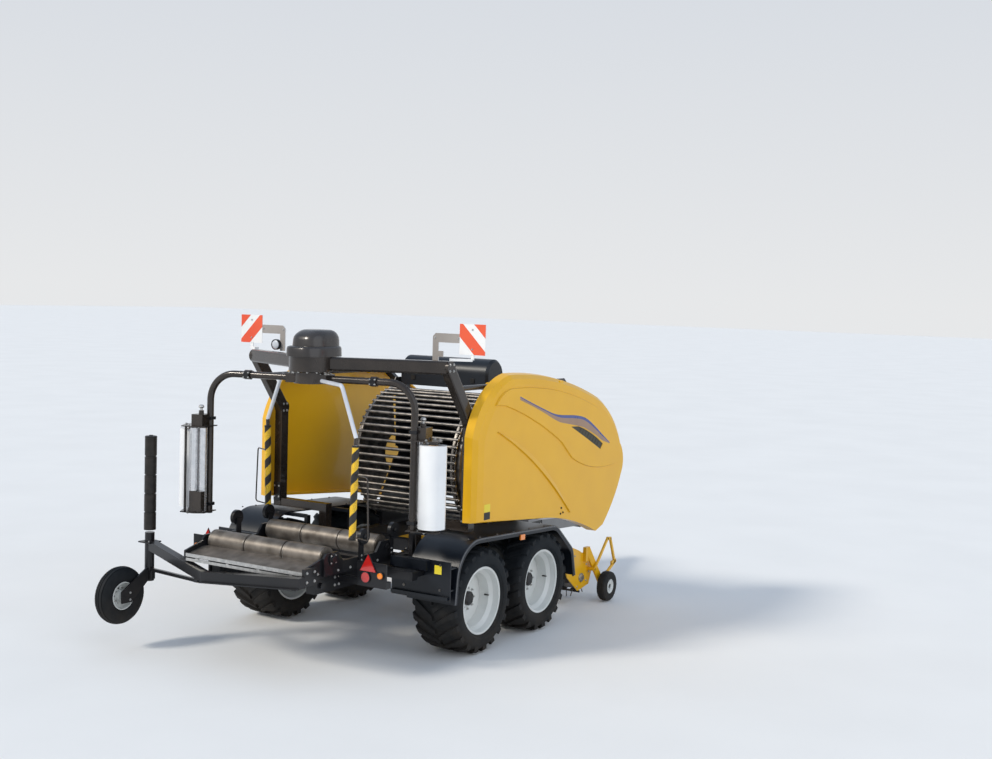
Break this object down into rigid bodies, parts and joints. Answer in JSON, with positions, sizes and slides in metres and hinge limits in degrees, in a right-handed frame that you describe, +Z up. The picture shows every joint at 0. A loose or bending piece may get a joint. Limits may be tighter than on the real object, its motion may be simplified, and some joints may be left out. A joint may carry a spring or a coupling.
{
  "type": "round baler with satellite bale wrapper",
  "caption": "Towed tandem-axle round baler with a rear wrapping table, turning film arms, yellow side doors, pickup and a side bale turner.",
  "frame": {"origin": "on the ground in the middle of the machine's length and width; the middle plane is y = 0", "axes": "+X forward along the drawbar, +Y to the left, +Z up"},
  "size_m": [6.8421, 2.973, 3.105],
  "materials": {
    "yellow": "gloss",
    "black_paint": "satin",
    "rim_paint": "gloss",
    "tyre": "matte",
    "steel": "worn",
    "black_plastic": "matte",
    "film": "gloss",
    "rubber": "matte",
    "sign": "satin",
    "lamp": "gloss"
  },
  "bodies": {
    "chassis": {"main_frame": "black_paint", "drawbar": "black_paint", "tow_eye": "steel", "axle_tube": "black_paint", "bogie_left": "black_paint", "bogie_right": "black_paint", "mudguard_left": "black_plastic", "mudguard_right": "black_plastic", "chamber_front": "black_paint", "net_box": "black_plastic", "arm_support": "black_paint", "hub_cover": "black_plastic", "warning_board_left": "sign", "warning_board_right": "sign", "rear_lamps": "lamp", "jack_sleeve": "black_paint", "gearbox": "black_paint"},
    "wheel_rear_left": {"tyre_rear_left": "tyre", "rim_rear_left": "rim_paint"},
    "wheel_rear_right": {"tyre_rear_right": "tyre", "rim_rear_right": "rim_paint"},
    "wheel_front_left": {"tyre_front_left": "tyre", "rim_front_left": "rim_paint"},
    "wheel_front_right": {"tyre_front_right": "tyre", "rim_front_right": "rim_paint"},
    "tailgate": {"tailgate": "steel"},
    "door_left": {"side_door_left": "yellow"},
    "door_right": {"side_door_right": "yellow"},
    "wrap_arm": {"wrap_arm": "black_paint"},
    "film_left": {"film_roll_left": "film"},
    "film_right": {"film_roll_right": "film"},
    "table": {"table": "black_paint", "turner_beam": "black_paint"},
    "table_roller_front": {"table_roller_front": "rubber"},
    "table_roller_rear": {"table_roller_rear": "rubber"},
    "turner_roller": {"turner_roller": "rubber"},
    "turner_wheel": {"turner_tyre": "tyre", "turner_rim": "rim_paint"},
    "cylinder_barrel": {"cylinder_barrel": "black_paint"},
    "cylinder_rod": {"cylinder_rod": "steel"},
    "pickup": {"pickup_frame": "yellow"},
    "reel": {"reel": "steel"},
    "gauge_left": {"gauge_wheel_left": "tyre"},
    "gauge_right": {"gauge_wheel_right": "tyre"},
    "jack": {"jack_leg": "black_paint"}
  },
  "joints": [
    {"name": "wheel_spin_rear_left", "type": "hinge", "parent": "chassis", "child": "wheel_rear_left", "pos_m": [-1.25, 1.14, 0.505], "axis": [0, 1, 0], "continuous": true},
    {"name": "wheel_spin_rear_right", "type": "hinge", "parent": "chassis", "child": "wheel_rear_right", "pos_m": [-1.25, -1.14, 0.505], "axis": [0, 1, 0], "continuous": true},
    {"name": "wheel_spin_front_left", "type": "hinge", "parent": "chassis", "child": "wheel_front_left", "pos_m": [-0.14, 1.14, 0.505], "axis": [0, 1, 0], "continuous": true},
    {"name": "wheel_spin_front_right", "type": "hinge", "parent": "chassis", "child": "wheel_front_right", "pos_m": [-0.14, -1.14, 0.505], "axis": [0, 1, 0], "continuous": true},
    {"name": "tailgate_swing", "type": "hinge", "parent": "chassis", "child": "tailgate", "pos_m": [0.08, 0, 2.41], "axis": [0, 1, 0], "range_deg": [0, 70]},
    {"name": "door_swing_left", "type": "hinge", "parent": "chassis", "child": "door_left", "pos_m": [0, 1.16, 2.5], "axis": [1, 0, 0], "range_deg": [0, 65]},
    {"name": "door_swing_right", "type": "hinge", "parent": "chassis", "child": "door_right", "pos_m": [0, -1.16, 2.5], "axis": [-1, 0, 0], "range_deg": [0, 65]},
    {"name": "wrap_turn", "type": "hinge", "parent": "chassis", "child": "wrap_arm", "pos_m": [-2.18, 0, 2.5], "axis": [0, 0, 1], "continuous": true},
    {"name": "film_spin_left", "type": "hinge", "parent": "wrap_arm", "child": "film_left", "pos_m": [-2.42061, 1.23783, 1.642], "axis": [0, 0, 1], "continuous": true},
    {"name": "film_spin_right", "type": "hinge", "parent": "wrap_arm", "child": "film_right", "pos_m": [-1.93939, -1.23783, 1.642], "axis": [0, 0, 1], "continuous": true},
    {"name": "table_tilt", "type": "hinge", "parent": "chassis", "child": "table", "pos_m": [-2.75, 0, 0.8], "axis": [0, -1, 0], "range_deg": [0, 35]},
    {"name": "roller_spin_front", "type": "hinge", "parent": "table", "child": "table_roller_front", "pos_m": [-1.92, 0, 1.04], "axis": [0, 1, 0], "continuous": true},
    {"name": "roller_spin_rear", "type": "hinge", "parent": "table", "child": "table_roller_rear", "pos_m": [-2.7, 0, 1.04], "axis": [0, 1, 0], "continuous": true},
    {"name": "turner_roller_spin", "type": "hinge", "parent": "table", "child": "turner_roller", "pos_m": [-2.85, 1.356, 1.5], "axis": [0, 0, 1], "continuous": true},
    {"name": "turner_wheel_spin", "type": "hinge", "parent": "table", "child": "turner_wheel", "pos_m": [-3.15, 1.425, 0.49], "axis": [0, 1, 0], "continuous": true},
    {"name": "cylinder_swing", "type": "hinge", "parent": "chassis", "child": "cylinder_barrel", "pos_m": [-1.56, 0, 0.66], "axis": [0, 1, 0], "range_deg": [0, 12]},
    {"name": "cylinder_stroke", "type": "slide", "parent": "cylinder_barrel", "child": "cylinder_rod", "axis": [-0.9188, 0, 0.3948], "range_m": [0, 0.3]},
    {"name": "pickup_lift", "type": "hinge", "parent": "chassis", "child": "pickup", "pos_m": [0.8, 0, 0.62], "axis": [0, -1, 0], "range_deg": [0, 20]},
    {"name": "reel_spin", "type": "hinge", "parent": "pickup", "child": "reel", "pos_m": [1.18, 0, 0.29], "axis": [0, 1, 0], "continuous": true},
    {"name": "gauge_spin_left", "type": "hinge", "parent": "pickup", "child": "gauge_left", "pos_m": [1.48, 1.285, 0.17], "axis": [0, 1, 0], "continuous": true},
    {"name": "gauge_spin_right", "type": "hinge", "parent": "pickup", "child": "gauge_right", "pos_m": [1.48, -1.285, 0.17], "axis": [0, 1, 0], "continuous": true},
    {"name": "jack_slide", "type": "slide", "parent": "chassis", "child": "jack", "axis": [0, 0, 1], "range_m": [0, 0.37]}
  ],
  "couplings": [
    {"joint": "cylinder_swing", "follows": "table_tilt", "ratio": 0.3276},
    {"joint": "cylinder_stroke", "follows": "table_tilt", "m_per_rad": 0.4866}
  ]
}
